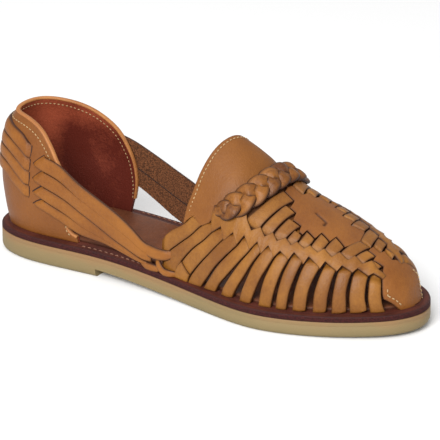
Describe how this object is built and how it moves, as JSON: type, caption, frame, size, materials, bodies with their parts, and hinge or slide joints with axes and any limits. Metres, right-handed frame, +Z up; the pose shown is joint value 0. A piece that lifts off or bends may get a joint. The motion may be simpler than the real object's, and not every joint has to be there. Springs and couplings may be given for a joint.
{
  "type": "huarache sandal",
  "caption": "Flat woven-leather huarache sandal for the right foot: plaited upper with side strips, tongue and braid, strap band round a lined heel counter, low rubber sole.",
  "frame": {"origin": "centre of the bounding box in plan, on the floor under the sole", "axes": "+Z up, +Y from heel to toe, +X towards the outer side of a right foot"},
  "size_m": [0.0868, 0.2602, 0.0851],
  "materials": {
    "rubber": "matte crepe-like rubber, cream to honey",
    "midsole_leather": "burgundy brown leather board, waxed edge",
    "insole_leather": "brown leather sock, worn matte",
    "woven_leather": "tan vegetable-tanned leather strips, satin, darker cut edges",
    "counter_leather": "tan leather, satin, burgundy lining, light rounded edge",
    "tongue_leather": "smooth tan leather, satin",
    "braid_leather": "tan leather strands, satin, darker edges"
  },
  "bodies": {
    "root": {"outsole": "rubber", "midsole": "midsole_leather", "insole": "insole_leather", "upper": "woven_leather", "heel_counter": "counter_leather", "tongue": "tongue_leather", "instep_braid": "braid_leather"}
  },
  "joints": []
}
